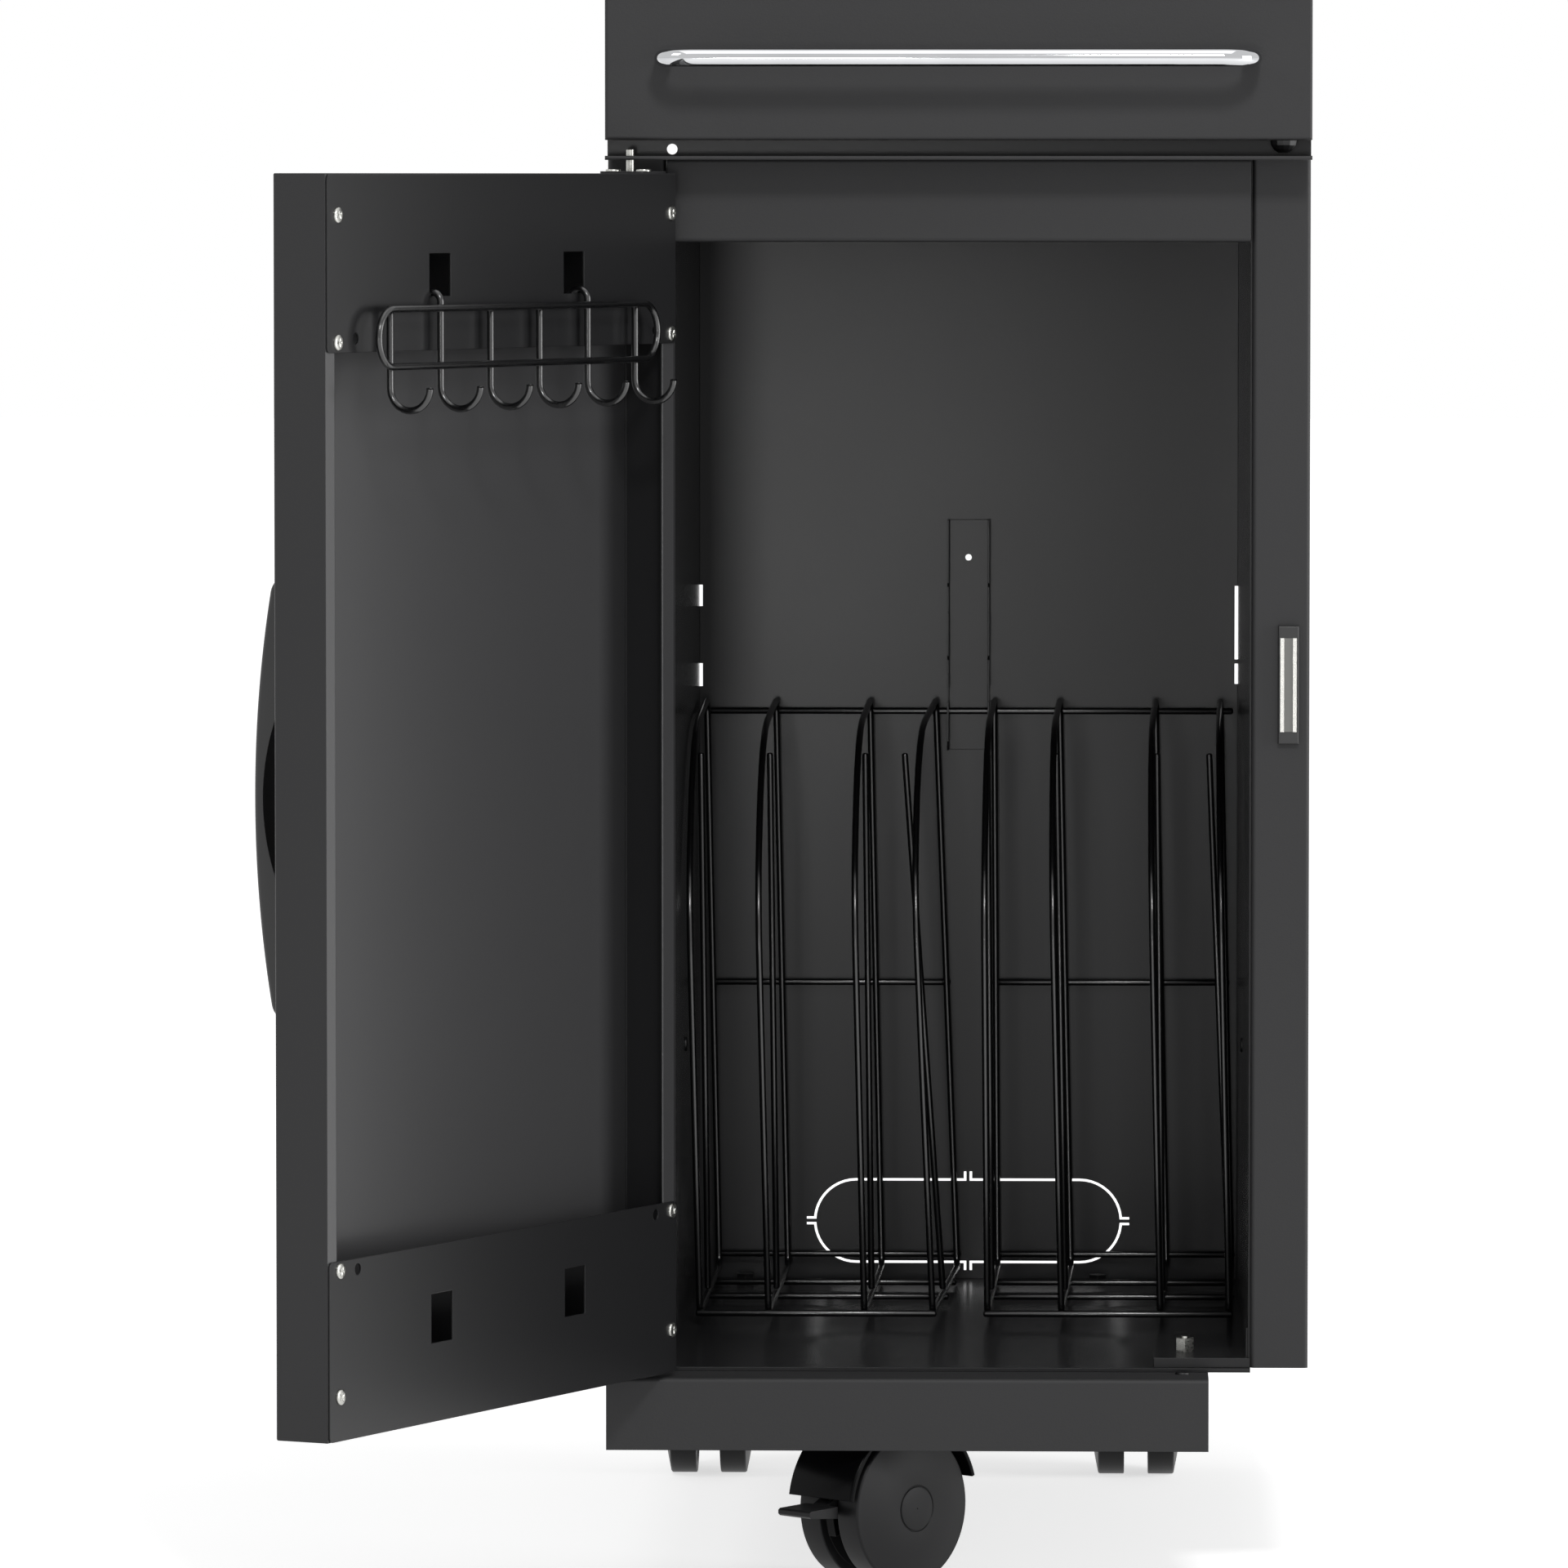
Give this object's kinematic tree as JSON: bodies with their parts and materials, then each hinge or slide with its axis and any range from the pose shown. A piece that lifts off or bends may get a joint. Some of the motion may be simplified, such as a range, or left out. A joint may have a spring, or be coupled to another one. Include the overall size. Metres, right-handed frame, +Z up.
{
  "type": "outdoor grill cart cabinet",
  "caption": "Free-standing black sheet-metal grill cart: storage cabinet with swing door, wire rack, hook rack, towel bar and magnetic catch on twin-wheel casters.",
  "frame": {"origin": "on the floor, below the middle of the bounding box of the whole cart with its door standing open as at rest", "axes": "+Z up; +X to the right as seen from the front; +Y from the front to the back"},
  "size_m": [0.5876, 0.9836, 0.9398],
  "materials": {
    "outer_coat": "matte fine-textured powder coat",
    "inner_coat": "semi-gloss powder coat",
    "rack_wire": "gloss coating",
    "chrome_bar": "polished",
    "zinc": "zinc plated",
    "black_screw": "black oxide",
    "bright_steel": "bright ground steel",
    "magnet": "dull grey",
    "black_plastic": "satin moulded",
    "caster_plastic": "smooth moulded"
  },
  "bodies": {
    "cart": {"worktop": "outer_coat", "fascia_panel": "outer_coat", "top_web": "inner_coat", "top_side_right": "outer_coat", "top_side_left": "outer_coat", "top_rear_apron": "outer_coat", "towel_bar": "chrome_bar", "fascia_bumper": "black_plastic", "deck_plate": "outer_coat", "header_panel": "outer_coat", "side_panel_right": "outer_coat", "side_panel_left": "outer_coat", "inner_wall_right": "inner_coat", "inner_wall_left": "inner_coat", "back_panel": "inner_coat", "hanger_bracket": "inner_coat", "floor_panel": "inner_coat", "base_pan": "outer_coat", "foot_bracket": "inner_coat", "foot_bolt": "zinc", "wall_screws": "black_screw", "floor_bolts": "black_screw", "catch_housing": "black_plastic", "catch_strips": "bright_steel", "catch_magnet": "magnet", "caster_plates": "zinc"},
    "door": {"door_skin": "outer_coat", "door_top_plate": "inner_coat", "door_bottom_plate": "inner_coat", "door_screws": "zinc", "door_handle": "black_plastic", "hinge_plates": "outer_coat", "hinge_pins": "zinc"},
    "hook_rack": {"hook_rack_loop": "rack_wire", "hook_rack_hooks": "rack_wire"},
    "wire_rack": {"rack_hoops_left": "rack_wire", "rack_hoops_right": "rack_wire", "rack_uprights": "rack_wire", "rack_cross_wires": "rack_wire"},
    "caster_front": {"caster_front_housing": "caster_plastic"},
    "caster_front_wheel_a": {"caster_front_wheel_a": "caster_plastic"},
    "caster_front_wheel_b": {"caster_front_wheel_b": "caster_plastic"},
    "caster_front_brake": {"caster_front_brake": "caster_plastic"},
    "caster_left": {"caster_left_housing": "caster_plastic"},
    "caster_left_wheel_a": {"caster_left_wheel_a": "caster_plastic"},
    "caster_left_wheel_b": {"caster_left_wheel_b": "caster_plastic"},
    "caster_right": {"caster_right_housing": "caster_plastic"},
    "caster_right_wheel_a": {"caster_right_wheel_a": "caster_plastic"},
    "caster_right_wheel_b": {"caster_right_wheel_b": "caster_plastic"}
  },
  "joints": [
    {"name": "door_hinge", "type": "hinge", "parent": "cart", "child": "door", "pos_m": [-0.10016, -0.12951, 0.47468], "axis": [0, 0, 1], "range_deg": [-14, 115.8]},
    {"name": "hook_rack_lift", "type": "slide", "parent": "door", "child": "hook_rack", "axis": [0, 0, 1], "range_m": [0, 0.012]},
    {"name": "wire_rack_lift", "type": "slide", "parent": "cart", "child": "wire_rack", "axis": [0, 0, 1], "range_m": [0, 0.012]},
    {"name": "caster_front_swivel", "type": "hinge", "parent": "cart", "child": "caster_front", "pos_m": [0.06264, -0.06951, 0.04508], "axis": [0, 0, 1], "continuous": true},
    {"name": "caster_front_wheel_a_spin", "type": "hinge", "parent": "caster_front", "child": "caster_front_wheel_a", "pos_m": [0.04527, -0.0875, 0.04508], "axis": [0.7193, -0.6947, 0], "continuous": true},
    {"name": "caster_front_wheel_b_spin", "type": "hinge", "parent": "caster_front", "child": "caster_front_wheel_b", "pos_m": [0.04527, -0.0875, 0.04508], "axis": [0.7193, -0.6947, 0], "continuous": true},
    {"name": "caster_front_brake_press", "type": "hinge", "parent": "caster_front", "child": "caster_front_brake", "pos_m": [0.02165, -0.11195, 0.05178], "axis": [0.7193, -0.6947, 0], "range_deg": [0, 12]},
    {"name": "caster_left_swivel", "type": "hinge", "parent": "cart", "child": "caster_left", "pos_m": [-0.07486, 0.41449, 0.04508], "axis": [0, 0, 1], "continuous": true},
    {"name": "caster_left_wheel_a_spin", "type": "hinge", "parent": "caster_left", "child": "caster_left_wheel_a", "pos_m": [-0.07486, 0.43949, 0.04508], "axis": [-1, 0, 0], "continuous": true},
    {"name": "caster_left_wheel_b_spin", "type": "hinge", "parent": "caster_left", "child": "caster_left_wheel_b", "pos_m": [-0.07486, 0.43949, 0.04508], "axis": [-1, 0, 0], "continuous": true},
    {"name": "caster_right_swivel", "type": "hinge", "parent": "cart", "child": "caster_right", "pos_m": [0.19514, 0.41449, 0.04508], "axis": [0, 0, 1], "continuous": true},
    {"name": "caster_right_wheel_a_spin", "type": "hinge", "parent": "caster_right", "child": "caster_right_wheel_a", "pos_m": [0.19514, 0.43949, 0.04508], "axis": [-1, 0, 0], "continuous": true},
    {"name": "caster_right_wheel_b_spin", "type": "hinge", "parent": "caster_right", "child": "caster_right_wheel_b", "pos_m": [0.19514, 0.43949, 0.04508], "axis": [-1, 0, 0], "continuous": true}
  ]
}
